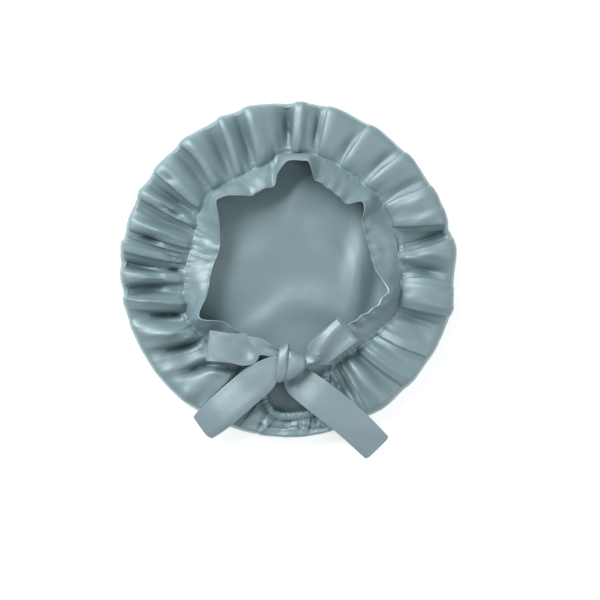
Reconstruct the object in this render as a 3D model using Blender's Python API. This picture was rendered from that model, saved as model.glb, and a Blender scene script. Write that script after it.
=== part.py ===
"""A satin sleep bonnet, lying crown down with its mouth open upwards, its ties knotted in a bow at the nape.

The frame is in metres. +Z is up, the origin is the centre of the flat underside of the crown, +Y is the front of
the bonnet and -Y its nape. A bearing is an angle in degrees, clockwise from the front as seen from above.
"""

from math import cos, floor, hypot, pi, radians, sin

import bmesh
import bpy
from mathutils import Vector

# Crown: one gathered disc of satin
CROWN_RADIUS = 0.151
CROWN_HEIGHT = 0.024
MOUTH_RADIUS = 0.102
SEAM_HEIGHT = 0.019
RIM_ROLL = 0.013
CROWN_WALL = 0.0012
FOLD_RISE = 0.0068
FOLD_TURN_WIDTH = 0.0034
RIM_BUMP = 0.0020

# Head band, sewn to the mouth
BAND_WIDTH = 0.027
BAND_WALL = 0.0014
BAND_FIRST = 204.0
BAND_LAST = 514.0
BAND_CURL = 24.0
BAND_STEP = 3.6

# Elastic casing along the nape
CASING_WIDTH = 0.0075
CASING_DEPTH = 0.0042
CASING_GATHER = 0.0012
CASING_GATHERS = 17
CASING_FIRST = 158.0
CASING_LAST = 200.0

# Ties and bow
TIE_WALL = 0.0012
TAIL_WIDTH = 0.028
LEFT_TAIL_LENGTH = 0.091
RIGHT_TAIL_LENGTH = 0.103
TAIL_DROOP = 0.014
DROOP_START_SHARE = 0.93
DROOP_REACH_SHARE = 0.20
LOOP_WIDTH = 0.026
LEFT_LOOP_LENGTH = 0.062
RIGHT_LOOP_LENGTH = 0.049
LOOP_PUFF = 0.0060
LOOP_PINCH = 0.0024
KNOT_LENGTH = 0.024
KNOT_WIDTH = 0.0325
KNOT_NECK = 0.0175
KNOT_DEPTH = 0.0150
KNOT_WALL = 0.0015
KNOT_HOLD = 0.0030
KNOT_BEARING = 177.5
KNOT_INSET = 0.018
KNOT_RISE = 0.0125
TIE_LEVEL_SHARE = -0.30

SEWN_GAP = 0.0007
CASING_GAP = 0.0010
LAID_GAP = 0.0004
MERGE = 0.00001

# The crown's section from the flat underside, round the rim and in to the mouth.
# roll: share of the rim roll inside the rim; inward: share of the way from the rim to the mouth;
# up: share of the crown's height; fold: share of the full folds.
SECTIONS = (
    dict(roll=1.00, inward=0.00, up=0.00, fold=0.00),
    dict(roll=0.32, inward=0.00, up=0.10, fold=0.00),
    dict(roll=0.00, inward=0.00, up=0.36, fold=0.08),
    dict(roll=0.00, inward=0.07, up=0.70, fold=0.28),
    dict(roll=0.00, inward=0.22, up=0.93, fold=0.70),
    dict(roll=0.00, inward=0.46, up=1.00, fold=1.00),
    dict(roll=0.00, inward=0.74, up=0.95, fold=1.00),
    dict(roll=0.00, inward=0.91, up=0.86, fold=0.62),
    dict(roll=0.00, inward=1.00, up=0.00, fold=0.00),
)

# The main folds. mouth, rim: the fold line's bearing at its two ends; over: -1 where the clockwise panel lies
# over the other one, +1 where it lies under; rise, sag: shares of the fold rise, the sag in the panel that
# follows; bump: share of the rim bump.
FOLDS = (
    dict(mouth=1.5, rim=2.5, over=-1, rise=0.90, sag=0.10, bump=0.6),
    dict(mouth=14.5, rim=13.5, over=-1, rise=0.80, sag=0.00, bump=1.0),
    dict(mouth=26.5, rim=29.5, over=-1, rise=0.75, sag=0.00, bump=0.2),
    dict(mouth=41.5, rim=45.5, over=-1, rise=0.80, sag=0.00, bump=0.0),
    dict(mouth=55.5, rim=60.0, over=-1, rise=0.80, sag=0.05, bump=0.0),
    dict(mouth=67.5, rim=73.0, over=-1, rise=0.90, sag=0.30, bump=0.0),
    dict(mouth=81.0, rim=79.5, over=-1, rise=1.00, sag=0.30, bump=0.8),
    dict(mouth=94.0, rim=95.5, over=-1, rise=0.80, sag=0.00, bump=0.0),
    dict(mouth=108.0, rim=106.0, over=1, rise=0.75, sag=-0.10, bump=1.0),
    dict(mouth=125.0, rim=121.0, over=1, rise=0.70, sag=-0.10, bump=0.2),
    dict(mouth=139.0, rim=134.0, over=1, rise=0.85, sag=-0.35, bump=0.0),
    dict(mouth=150.5, rim=150.0, over=1, rise=0.70, sag=0.10, bump=0.0),
    dict(mouth=205.5, rim=213.0, over=-1, rise=0.70, sag=0.00, bump=0.0),
    dict(mouth=218.5, rim=226.5, over=-1, rise=1.00, sag=0.10, bump=0.0),
    dict(mouth=231.0, rim=238.5, over=-1, rise=0.95, sag=-0.15, bump=0.0),
    dict(mouth=246.0, rim=251.0, over=-1, rise=0.90, sag=0.35, bump=0.0),
    dict(mouth=258.5, rim=260.0, over=-1, rise=0.90, sag=0.45, bump=0.2),
    dict(mouth=265.5, rim=268.0, over=-1, rise=0.90, sag=0.45, bump=0.0),
    dict(mouth=273.0, rim=275.0, over=-1, rise=1.00, sag=0.45, bump=0.9),
    dict(mouth=282.5, rim=285.5, over=-1, rise=0.95, sag=0.40, bump=0.0),
    dict(mouth=294.5, rim=297.0, over=-1, rise=0.95, sag=0.35, bump=0.5),
    dict(mouth=304.0, rim=306.0, over=-1, rise=0.85, sag=0.05, bump=0.0),
    dict(mouth=316.0, rim=320.0, over=-1, rise=0.85, sag=0.00, bump=0.0),
    dict(mouth=330.0, rim=334.0, over=-1, rise=0.80, sag=0.00, bump=0.0),
    dict(mouth=342.5, rim=343.0, over=-1, rise=0.95, sag=0.15, bump=0.5),
)

# Gathers that the nape elastic pulls up, between two main folds: how many, and their share of the fold rise.
NAPE_GATHERS = 11
NAPE_RISE = 0.42

# The mouth's edge. radius: share of the mouth's radius; height: share of the seam's height.
MOUTH = (
    dict(bearing=0.0, radius=1.033, height=1.00),
    dict(bearing=14.0, radius=1.044, height=1.00),
    dict(bearing=28.0, radius=1.021, height=1.00),
    dict(bearing=40.0, radius=1.006, height=1.00),
    dict(bearing=50.0, radius=1.029, height=1.02),
    dict(bearing=60.0, radius=1.008, height=1.00),
    dict(bearing=80.0, radius=0.997, height=1.00),
    dict(bearing=95.0, radius=1.010, height=1.00),
    dict(bearing=103.0, radius=1.032, height=1.02),
    dict(bearing=112.0, radius=1.018, height=1.00),
    dict(bearing=122.0, radius=0.982, height=1.00),
    dict(bearing=132.0, radius=0.954, height=1.00),
    dict(bearing=145.0, radius=0.934, height=1.00),
    dict(bearing=153.5, radius=0.930, height=0.98),
    dict(bearing=157.0, radius=0.975, height=0.94),
    dict(bearing=160.0, radius=1.070, height=0.86),
    dict(bearing=163.0, radius=1.190, height=0.78),
    dict(bearing=167.0, radius=1.295, height=0.70),
    dict(bearing=173.0, radius=1.325, height=0.66),
    dict(bearing=181.0, radius=1.330, height=0.66),
    dict(bearing=186.0, radius=1.310, height=0.68),
    dict(bearing=190.0, radius=1.230, height=0.76),
    dict(bearing=193.5, radius=1.120, height=0.84),
    dict(bearing=198.0, radius=1.010, height=0.94),
    dict(bearing=204.0, radius=0.957, height=0.98),
    dict(bearing=212.0, radius=0.955, height=1.00),
    dict(bearing=222.0, radius=0.940, height=1.00),
    dict(bearing=230.0, radius=0.948, height=1.00),
    dict(bearing=243.0, radius=0.986, height=1.02),
    dict(bearing=251.0, radius=0.950, height=1.00),
    dict(bearing=262.0, radius=0.927, height=1.00),
    dict(bearing=275.0, radius=0.896, height=1.00),
    dict(bearing=285.0, radius=0.878, height=1.00),
    dict(bearing=293.0, radius=0.888, height=1.00),
    dict(bearing=302.0, radius=0.925, height=1.00),
    dict(bearing=315.0, radius=0.966, height=1.02),
    dict(bearing=323.0, radius=0.941, height=1.00),
    dict(bearing=333.0, radius=0.930, height=1.00),
    dict(bearing=345.0, radius=0.946, height=1.00),
    dict(bearing=351.0, radius=0.970, height=1.00),
    dict(bearing=355.0, radius=1.018, height=1.02),
)

# How far the head band leans in over the mouth, in degrees from upright. Bearings past 360 carry on round.
BAND_LEANS = (
    dict(bearing=204.0, lean=76.0),
    dict(bearing=212.0, lean=76.0),
    dict(bearing=220.0, lean=67.0),
    dict(bearing=230.0, lean=58.0),
    dict(bearing=236.0, lean=38.0),
    dict(bearing=242.0, lean=26.0),
    dict(bearing=250.0, lean=44.0),
    dict(bearing=262.0, lean=64.0),
    dict(bearing=275.0, lean=68.0),
    dict(bearing=288.0, lean=71.0),
    dict(bearing=297.0, lean=61.0),
    dict(bearing=305.0, lean=49.0),
    dict(bearing=311.0, lean=32.0),
    dict(bearing=315.5, lean=21.0),
    dict(bearing=322.0, lean=25.0),
    dict(bearing=330.0, lean=42.0),
    dict(bearing=336.0, lean=50.0),
    dict(bearing=350.0, lean=49.0),
    dict(bearing=354.0, lean=42.0),
    dict(bearing=361.0, lean=15.0),
    dict(bearing=370.0, lean=15.0),
    dict(bearing=378.0, lean=54.0),
    dict(bearing=390.0, lean=56.0),
    dict(bearing=402.0, lean=57.0),
    dict(bearing=408.5, lean=31.0),
    dict(bearing=417.0, lean=60.0),
    dict(bearing=430.0, lean=71.0),
    dict(bearing=446.0, lean=66.0),
    dict(bearing=453.0, lean=50.0),
    dict(bearing=460.0, lean=30.0),
    dict(bearing=467.0, lean=36.0),
    dict(bearing=478.0, lean=50.0),
    dict(bearing=490.0, lean=61.0),
    dict(bearing=505.0, lean=66.0),
    dict(bearing=514.0, lean=70.0),
)

# Paths of the bow's ribbons, from the knot outwards. x, y: on plan, shares of the ribbon's length; level: height
# against the knot's centre, a share of the knot's depth; width: share of the ribbon's own width; rest: how far the
# ribbon has come down from its level to lie on the folds.
LEFT_LOOP = (
    dict(x=0.00, y=0.00, level=-0.03, width=0.42),
    dict(x=-0.17, y=0.066, level=-0.03, width=0.42),
    dict(x=-0.33, y=0.110, level=-0.02, width=0.54),
    dict(x=-0.50, y=0.070, level=0.02, width=0.98),
    dict(x=-0.75, y=0.095, level=0.10, width=0.95),
    dict(x=-1.00, y=0.124, level=0.12, width=1.00),
)
RIGHT_LOOP = (
    dict(x=0.000, y=0.000, level=0.03, width=0.30),
    dict(x=0.150, y=0.068, level=0.05, width=0.42),
    dict(x=0.295, y=0.184, level=0.14, width=0.85),
    dict(x=0.543, y=0.377, level=0.26, width=0.95),
    dict(x=0.800, y=0.588, level=0.28, width=1.00),
)
LEFT_TAIL = (
    dict(x=0.000, y=0.000, level=0.23, width=0.66, rest=0.00),
    dict(x=-0.094, y=-0.030, level=0.22, width=0.70, rest=0.00),
    dict(x=-0.203, y=-0.114, level=0.24, width=0.98, rest=0.10),
    dict(x=-0.351, y=-0.237, level=0.20, width=1.06, rest=0.80),
    dict(x=-0.618, y=-0.472, level=0.20, width=1.05, rest=1.00),
    dict(x=-0.786, y=-0.618, level=0.20, width=0.94, rest=1.00),
)
RIGHT_TAIL = (
    dict(x=0.000, y=0.000, level=-0.68, width=0.62, rest=0.00),
    dict(x=0.070, y=-0.061, level=-0.68, width=0.95, rest=0.00),
    dict(x=0.259, y=-0.201, level=-0.20, width=1.06, rest=1.00),
    dict(x=0.512, y=-0.403, level=-0.20, width=1.05, rest=1.00),
    dict(x=0.762, y=-0.648, level=-0.20, width=1.00, rest=1.00),
)

# Where each ribbon starts. side: -1 at the knot's left mouth, +1 at its right; aside: share of the knot's half
# width, towards the front; hold: how many times KNOT_HOLD it reaches in; pinch: a tie's width there, as a share.
ROOTS = {
    "loop_left": dict(side=-1, aside=0.50, hold=1.0),
    "loop_right": dict(side=1, aside=0.00, hold=1.0),
    "tail_left": dict(side=-1, aside=-0.14, hold=1.0),
    "tail_right": dict(side=1, aside=-0.62, hold=4.4),
    "tie_left": dict(side=-1, aside=0.00, hold=1.0, pinch=0.50),
    "tie_right": dict(side=1, aside=0.00, hold=1.0, pinch=0.20),
}


def plan(bearing, radius, height):
    """The point at a bearing, a distance from the crown's axis and a height."""
    return Vector((radius * sin(radians(bearing)), radius * cos(radians(bearing)), height))


def mix(low, high, share):
    return low + (high - low) * share


def eased(share):
    return share * share * (3 - 2 * share)


def along(rows, key, value, column, around=0.0):
    """A table's column at a value of its key column, eased between rows; around closes the table into a ring."""
    rows = list(rows)
    if around:
        rows.append({**rows[0], key: rows[0][key] + around})
        value = rows[0][key] + (value - rows[0][key]) % around
    for low, high in zip(rows, rows[1:]):
        if value <= high[key]:
            share = (value - low[key]) / (high[key] - low[key])
            return mix(low[column], high[column], eased(min(max(share, 0.0), 1.0)))
    return rows[-1][column]


def mouth_edge(bearing):
    """(radius, height) of the crown's edge at the mouth."""
    radius = MOUTH_RADIUS * along(MOUTH, "bearing", bearing, "radius", around=360.0)
    height = SEAM_HEIGHT * along(MOUTH, "bearing", bearing, "height", around=360.0)
    return radius, height


def section_point(section, bearing):
    """(radius, height) of the unfolded crown at one section."""
    edge, seam = mouth_edge(bearing)
    outer = CROWN_RADIUS - section["roll"] * RIM_ROLL
    radius = mix(outer, edge, section["inward"])
    if section["inward"] == 1.0:
        return radius, seam
    full = CROWN_HEIGHT * section["up"]
    lowered = full - (SEAM_HEIGHT - seam) * section["inward"]
    return radius, lowered


def section_lift(row, bearing):
    """The direction, as (outward, up), in which the folds stand up from a section."""
    before = section_point(SECTIONS[max(row - 1, 0)], bearing)
    after = section_point(SECTIONS[min(row + 1, len(SECTIONS) - 1)], bearing)
    run, climb = after[0] - before[0], after[1] - before[1]
    length = hypot(run, climb)
    return climb / length, -run / length


def all_folds():
    """The main folds with the nape's gathers between the two that stand beside the elastic, in order of bearing."""
    folds = [dict(fold) for fold in FOLDS]
    after = max(i for i, fold in enumerate(folds) if fold["mouth"] < CASING_FIRST)
    first, last = folds[after], folds[after + 1]
    for n in range(NAPE_GATHERS):
        share = (n + 1) / (NAPE_GATHERS + 1)
        gather = dict(over=1 if n % 2 else -1, rise=NAPE_RISE, sag=0.0, bump=0.0)
        gather["mouth"] = mix(first["mouth"], last["mouth"], share)
        gather["rim"] = mix(first["rim"], last["rim"], share)
        folds.insert(after + 1 + n, gather)
    return folds


def fold_columns(folds):
    """The crown's columns: each fold's turn and the panel that follows it. (fold, where, share)."""
    columns = []
    for i, fold in enumerate(folds):
        width = (folds[(i + 1) % len(folds)]["mouth"] - fold["mouth"]) % 360
        columns += [(i, "turn", 0.0), (i, "turn", 0.5), (i, "turn", 1.0)]
        inner = 2 if width > 9 else 1 if width > 6 else 0
        columns += [(i, "panel", (n + 1) / (inner + 1)) for n in range(inner)]
    return columns


def turn_shape(share, lean):
    """Across a fold's turn: (place from -1 to 1, level from 0 to 1), a cubic whose middle steepens with lean."""
    handle = mix(-1 / 3, 1.0, lean)
    a, b, c, d = (1 - share) ** 3, 3 * (1 - share) ** 2 * share, 3 * (1 - share) * share**2, share**3
    return -a + b * handle - c * handle + d, c + d


def fold_place(folds, column, row):
    """(bearing, lift, bump) of a column at a section."""
    i, where, share = column
    section = SECTIONS[row]
    strength = section["fold"]
    reach = section["inward"]
    fold, after = folds[i], folds[(i + 1) % len(folds)]

    def middle(one):
        swing = one["mouth"] - one["rim"]
        return one["rim"] + swing * reach

    def half_turn(one):
        gap = (after["mouth"] - fold["mouth"]) % 360
        angle = FOLD_TURN_WIDTH / CROWN_RADIUS * 180 / pi
        return min(angle, gap / 3.2)

    def sides(one):
        half = one["rise"] * FOLD_RISE * strength / 2
        return (-half, half) if one["over"] < 0 else (half, -half)

    if where == "turn":
        place, level = turn_shape(share, 0.72 * strength)
        low, high = sides(fold)
        return middle(fold) + place * half_turn(fold), mix(low, high, level), fold["bump"]
    start = middle(fold) + half_turn(fold)
    end = middle(after) - half_turn(after)
    end += 360 if end < start else 0
    lift = mix(sides(fold)[1], sides(after)[0], share)
    lift -= 4 * share * (1 - share) * fold["sag"] * FOLD_RISE * strength
    return mix(start, end, share), lift, mix(fold["bump"], after["bump"], eased(share))


def crown_point(folds, column, row):
    bearing, lift, bump = fold_place(folds, column, row)
    radius, height = section_point(SECTIONS[row], bearing)
    outward, up = section_lift(row, bearing)
    low_rows = SECTIONS[row]["inward"] < 0.5 and row > 0
    push = RIM_BUMP * bump * (1 - 2 * SECTIONS[row]["inward"]) if low_rows else 0.0
    return plan(bearing, radius + lift * outward + push, height + lift * up)


def satin(name, colour, roughness):
    material = bpy.data.materials.new(name)
    material.use_nodes = True
    shader = material.node_tree.nodes["Principled BSDF"]
    shader.inputs["Base Color"].default_value = (*colour, 1.0)
    shader.inputs["Roughness"].default_value = roughness
    shader.inputs["Metallic"].default_value = 0.0
    material.diffuse_color = (*colour, 1.0)
    return material


def place_object(name, bm, material, smooth=50.0):
    mesh = bpy.data.meshes.new(name)
    bm.to_mesh(mesh)
    bm.free()
    mesh.shade_smooth()
    mesh.set_sharp_from_angle(angle=radians(smooth))
    mesh.materials.append(material)
    obj = bpy.data.objects.new(name, mesh)
    bpy.context.scene.collection.objects.link(obj)
    return obj


def give_wall(obj, thickness, offset):
    wall = obj.modifiers.new("wall", "SOLIDIFY")
    wall.thickness = thickness
    wall.offset = offset
    wall.use_rim = True
    wall.use_even_offset = False


def mapped_grid(columns, rows, place, ring=False, tube=False):
    """A bmesh grid whose vertex in a column and row goes to place(column, row); ring and tube close its two ways."""
    bm = bmesh.new()
    made = bmesh.ops.create_grid(bm, x_segments=columns, y_segments=rows, size=0.5)
    for vertex in made["verts"]:
        column = round((vertex.co.x + 0.5) * columns)
        row = round((vertex.co.y + 0.5) * rows)
        column = column % columns if ring else column
        row = row % rows if tube else row
        vertex.co = place(column, row)
    if ring or tube:
        bmesh.ops.remove_doubles(bm, verts=bm.verts, dist=MERGE)
    return bm


def make_crown(material):
    folds = all_folds()
    columns = fold_columns(folds)
    rows = len(SECTIONS) - 1
    bm = mapped_grid(len(columns), rows, lambda c, r: crown_point(folds, columns[c], rows - r), ring=True)
    level = max(edge.verts[0].co.z for edge in bm.edges if edge.is_boundary) / 2
    base = [e for e in bm.edges if e.is_boundary and max(v.co.z for v in e.verts) < level]
    bmesh.ops.contextual_create(bm, geom=base)
    bmesh.ops.recalc_face_normals(bm, faces=bm.faces)
    crown = place_object("crown", bm, material)
    give_wall(crown, CROWN_WALL, -1.0)
    return crown


def band_point(bearing, share):
    """The head band's outer face, from the seam (share 0) to its free edge (share 1)."""
    edge, seam = mouth_edge(bearing)
    lean = along(BAND_LEANS, "bearing", bearing, "lean")
    steps = 4
    radius, height = edge - SEWN_GAP, seam
    whole = floor(share * steps + 0.5)
    for n in range(whole):
        slope = radians(lean + BAND_CURL * ((n + 0.5) / steps - 0.5))
        radius -= BAND_WIDTH / steps * sin(slope)
        height += BAND_WIDTH / steps * cos(slope)
    return plan(bearing, radius, height)


def band_bearings():
    """Bearings of the band's columns: one at each lean, and others between them."""
    bearings = []
    for low, high in zip(BAND_LEANS, BAND_LEANS[1:]):
        parts = max(1, round((high["bearing"] - low["bearing"]) / BAND_STEP))
        bearings += [mix(low["bearing"], high["bearing"], n / parts) for n in range(parts)]
    return bearings + [BAND_LEANS[-1]["bearing"]]


def make_band(material):
    bearings = band_bearings()
    rows = 4
    bm = mapped_grid(len(bearings) - 1, rows, lambda c, r: band_point(bearings[c], r / rows))
    band = place_object("head_band", bm, material)
    give_wall(band, BAND_WALL, 1.0)
    return band


def make_casing(material):
    """The ruched tube that holds the elastic, along the crown's edge at the nape."""
    columns, around = CASING_GATHERS * 4, 8

    def place(column, turn):
        share = column / columns
        bearing = mix(CASING_FIRST, CASING_LAST, share)
        step = 0.5
        edge, seam = mouth_edge(bearing)
        here = plan(bearing, edge, seam)
        ahead = plan(bearing + step, *mouth_edge(bearing + step)) - plan(bearing - step, *mouth_edge(bearing - step))
        inward = Vector((0, 0, 1)).cross(ahead).normalized()
        if inward.dot(here) > 0:
            inward.negate()
        gather = CASING_GATHER * sin(2 * pi * share * CASING_GATHERS)
        angle = 2 * pi * turn / around
        half = CASING_WIDTH / 2
        middle = here + inward * (half + CASING_GAP) - Vector((0, 0, CROWN_WALL / 2))
        depth = CASING_DEPTH / 2 + gather * 0.5
        return middle + inward * (half * cos(angle)) + Vector((0, 0, depth * sin(angle)))

    bm = mapped_grid(columns, around, place, tube=True)
    bmesh.ops.holes_fill(bm, edges=[e for e in bm.edges if e.is_boundary], sides=around)
    bmesh.ops.recalc_face_normals(bm, faces=bm.faces)
    return place_object("nape_casing", bm, material)


def smooth_curve(rows, value, column):
    """A table's column on a smooth curve through its rows, at a value that counts rows from 0."""
    low = min(int(value), len(rows) - 2)
    share = value - low
    a, b, c, d = [rows[min(max(low + k, 0), len(rows) - 1)][column] for k in (-1, 0, 1, 2)]
    bend = (2 * a - 5 * b + 4 * c - d) * share**2 + (3 * b - a - 3 * c + d) * share**3
    return 0.5 * (2 * b + (c - a) * share + bend)


def knot_centre():
    return plan(KNOT_BEARING, MOUTH_RADIUS - KNOT_INSET, SEAM_HEIGHT + KNOT_RISE)


def root_point(name):
    """Where a ribbon's centre line starts inside the knot."""
    root = ROOTS[name]
    x = root["side"] * (KNOT_LENGTH / 2 - root["hold"] * KNOT_HOLD)
    return knot_centre() + Vector((x, root["aside"] * KNOT_WIDTH / 2, 0))


def resting_height():
    """Height of a ribbon's middle where it lies on the crown's folds."""
    return CROWN_HEIGHT + FOLD_RISE / 2 + LAID_GAP + TIE_WALL / 2


def droop_over_rim(spot):
    """How far a tail has sunk where it runs out over the crown's rim."""
    past = hypot(spot.x, spot.y) - DROOP_START_SHARE * CROWN_RADIUS
    return TAIL_DROOP * eased(min(max(past / (DROOP_REACH_SHARE * CROWN_RADIUS), 0.0), 1.0))


def ribbon_line(name, rows, length, count):
    """The ribbon's centre line with its sideways direction and width share: a list of (point, side, width)."""
    names = rows[0].keys()
    stops = [{n: smooth_curve(rows, (len(rows) - 1) * k / count, n) for n in names} for k in range(count + 1)]
    root = root_point(name)
    spots = [root + Vector((stop["x"] * length, stop["y"] * length, 0)) for stop in stops]
    line = []
    for k, stop in enumerate(stops):
        ahead = spots[min(k + 1, count)] - spots[max(k - 1, 0)]
        side = Vector((0, 0, 1)).cross(ahead).normalized()
        height = root.z + stop["level"] * KNOT_DEPTH
        rest = stop.get("rest", 0.0)
        height = mix(height, resting_height(), rest) - rest * droop_over_rim(spots[k])
        line.append((Vector((spots[k].x, spots[k].y, height)), side, stop["width"]))
    return line


def make_tail(name, rows, length, material):
    """A flat ribbon along its table's path."""
    count, across = 14, 4
    line = ribbon_line(name, rows, length, count)

    def place(column, row):
        middle, side, width = line[column]
        return middle + side * ((row / across - 0.5) * TAIL_WIDTH * width)

    bm = mapped_grid(count, across, place)
    tail = place_object(name, bm, material)
    give_wall(tail, TIE_WALL, 0.0)
    return tail


def make_tie(name, bearing, turn, material):
    """The ribbon that runs on from an end of the head band into the knot."""
    count, across = 8, 4
    low, high = band_point(bearing, 0.0), band_point(bearing, 1.0)
    away = (band_point(bearing + turn, 0.5) - band_point(bearing, 0.5)).normalized() * SEWN_GAP
    start = (low + high) / 2 - away
    end = root_point(name) + Vector((0, 0, TIE_LEVEL_SHARE * KNOT_DEPTH))
    first = (high - low).normalized()
    last = Vector((0, 1, 0)) if first.y > 0 else Vector((0, -1, 0))

    def place(column, row):
        share = column / count
        width = BAND_WIDTH * mix(1.0, ROOTS[name]["pinch"], eased(share))
        side = first.lerp(last, eased(share)).normalized()
        return start.lerp(end, share) + side * ((row / across - 0.5) * width)

    bm = mapped_grid(count, across, place)
    bmesh.ops.recalc_face_normals(bm, faces=bm.faces)
    tie = place_object(name, bm, material)
    give_wall(tie, TIE_WALL, 0.0)
    return tie


def make_loop(name, rows, length, material):
    """A ribbon that goes out along its table's path, turns at its far end and comes back underneath."""
    count, bend, across = 9, 4, 4
    line = ribbon_line(name, rows, length, count)
    tip, side, width = line[-1]
    outward = (tip - line[-2][0]).normalized()
    outward.z = 0.0

    def puff(k):
        return mix(LOOP_PINCH, LOOP_PUFF, eased(min(1.0, max(0.0, 1.7 * k / count - 0.5)))) / 2

    def place(column, row):
        back = 2 * count + bend - column
        if column <= count:
            middle, aside, share = line[column]
            height = puff(column)
        elif back <= count:
            middle, aside, share = line[back]
            height = -puff(back)
        else:
            angle = pi * (column - count) / bend
            middle, aside, share = tip + outward * (puff(count) * sin(angle)), side, width
            height = puff(count) * cos(angle)
        return middle + aside * ((row / across - 0.5) * LOOP_WIDTH * share) + Vector((0, 0, height))

    bm = mapped_grid(2 * count + bend, across, place)
    loop = place_object(name, bm, material)
    give_wall(loop, TIE_WALL, 0.0)
    return loop


def make_knot(material):
    """The ribbon's wrap round the bow: an open sleeve, wide at its left mouth and narrow at its right."""
    stations, around, square = 6, 16, 0.82

    def rounded(value):
        return abs(value) ** square * (1 if value > 0 else -1)

    def place(column, turn):
        share = column / stations
        angle = 2 * pi * (turn + 0.5) / around
        half = mix(KNOT_WIDTH, KNOT_NECK, eased(share)) / 2
        depth = KNOT_DEPTH / 2 * (1.0 + 0.10 * sin(pi * share))
        x = (share - 0.5) * KNOT_LENGTH
        return knot_centre() + Vector((x, half * rounded(cos(angle)), depth * rounded(sin(angle))))

    bm = mapped_grid(stations, around, place, tube=True)
    knot = place_object("bow_knot", bm, material)
    give_wall(knot, KNOT_WALL, -1.0)
    return knot


def main():
    for obj in list(bpy.data.objects):
        bpy.data.objects.remove(obj)
    outer = satin("teal_satin", (0.225, 0.312, 0.340), 0.38)
    ribbon = satin("ribbon_satin", (0.250, 0.335, 0.365), 0.36)
    make_crown(outer)
    make_band(outer)
    make_casing(outer)
    make_tie("tie_left", BAND_FIRST, 1.0, ribbon)
    make_tie("tie_right", BAND_LAST, -1.0, ribbon)
    make_loop("loop_left", LEFT_LOOP, LEFT_LOOP_LENGTH, ribbon)
    make_loop("loop_right", RIGHT_LOOP, RIGHT_LOOP_LENGTH, ribbon)
    make_tail("tail_left", LEFT_TAIL, LEFT_TAIL_LENGTH, ribbon)
    make_tail("tail_right", RIGHT_TAIL, RIGHT_TAIL_LENGTH, ribbon)
    make_knot(ribbon)


main()
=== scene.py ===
"""Looks of a satin sleep bonnet that lies crown down: gathered crown, head band, ruched nape and tie bow.

Lengths are in metres. A bearing is an angle in degrees, clockwise from the front of the bonnet as seen from
above. A reach is a share of the crown's ring, from 0 at its rim to 1 at the mouth seam.
"""
from math import atan2, copysign, cos, degrees, exp, hypot, pi, radians, sin

import bmesh
import bpy
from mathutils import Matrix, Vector, noise


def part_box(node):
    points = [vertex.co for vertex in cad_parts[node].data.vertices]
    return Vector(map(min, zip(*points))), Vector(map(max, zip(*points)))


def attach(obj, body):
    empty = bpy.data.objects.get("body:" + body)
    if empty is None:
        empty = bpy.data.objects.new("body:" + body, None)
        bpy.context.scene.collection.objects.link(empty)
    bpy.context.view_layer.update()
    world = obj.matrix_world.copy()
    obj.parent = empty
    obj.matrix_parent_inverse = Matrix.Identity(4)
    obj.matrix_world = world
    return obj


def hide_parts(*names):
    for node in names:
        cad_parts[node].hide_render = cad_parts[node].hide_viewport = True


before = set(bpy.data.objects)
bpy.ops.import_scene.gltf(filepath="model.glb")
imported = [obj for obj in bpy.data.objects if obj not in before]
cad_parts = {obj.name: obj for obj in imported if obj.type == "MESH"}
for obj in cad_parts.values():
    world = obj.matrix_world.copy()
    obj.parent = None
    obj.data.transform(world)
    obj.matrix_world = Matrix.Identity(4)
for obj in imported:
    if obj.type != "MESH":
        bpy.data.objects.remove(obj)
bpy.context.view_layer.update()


def table(columns, *rows):
    """Rows of numbers, each as a dict by the names of the columns."""
    return [dict(zip(columns.split(), row)) for row in rows]


# Camera over the mouth: what one photo pixel spans, and the pixel that shows the crown's middle
PIXEL = 0.0009
PHOTO_SIDE = 600
CROWN_PIXEL = (287.5, 270.0)
CAMERA_RISE = 2.4

# Light, as strengths
KEY_POWER = 46.5
FILL_POWER = 9
SKY_STRENGTH = 0.33
GROUND_GLOW = 0.52

# Crown
RIM_RADIUS = 0.151
MOUTH_RADIUS = 0.102
CROWN_HEIGHT = 0.024
SEAM_HEIGHT = 0.019
FLOOR_RADIUS = 0.136
RING_RADIUS = 0.125
SATIN_WALL = 0.0005
FOLD_RISE = 0.0088
FOLD_TURN = 0.0040
BEAD_RISE = 0.42
BEAD_PLACE = 0.16
BEAD_SPREAD = 0.17
CREASING = 0.0009
# Painted shade: the ring's colour darkens below this lift, and is fully darkened this much deeper
PAINTED_SHADE_LEVEL = -0.0006
PAINTED_SHADE_DEPTH = 0.0072
FLAT_PUCKER = 0.0006
SLACK_PUCKER = 0.0015
FLOOR_WAVE = 0.0034
FLOOR_RIPPLE = 0.0016
RIM_BUMP = 0.0018
FLOOR_RINGS = 16
RING_ROWS = 60
TURN_COLUMNS = 8
PANEL_COLUMN = 1.35
PROFILE_STEP = 0.001
ROW_LENGTH = 0.0011

# Head band
BAND_WIDTH = 0.027
BAND_THICKNESS = 0.0013
BAND_CURL = 24.0
BAND_FIRST = 203.0
BAND_LAST = 515.0
BAND_WAVE = 0.0024
BAND_PUCKER = 0.0008
FRONT_FOLD = 352.5
FRONT_FOLD_DEPTH = 0.0034
LEFT_FOLD = 281.5
LEFT_FOLD_DEPTH = 0.0010
EDGE_WAVE = 0.0003
EDGE_WAVE_RIGHT = 0.0008
EDGE_WAVE_STEP = 8.3
FOLD_SLANT = 3.0
SEAM_TUCK = 0.0004
SEAM_SINK = 0.0006
FREE_HEM = 0.0010
SEAM_HEM = 0.0013

# Casing along the nape
CASING_FIRST = 157.0
CASING_LAST = 201.0
CASING_HALF_WIDTH = 0.0038
CASING_HALF_DEPTH = 0.0021
CASING_GATHER = 0.0010
CASING_WAVE = 0.0006

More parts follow.
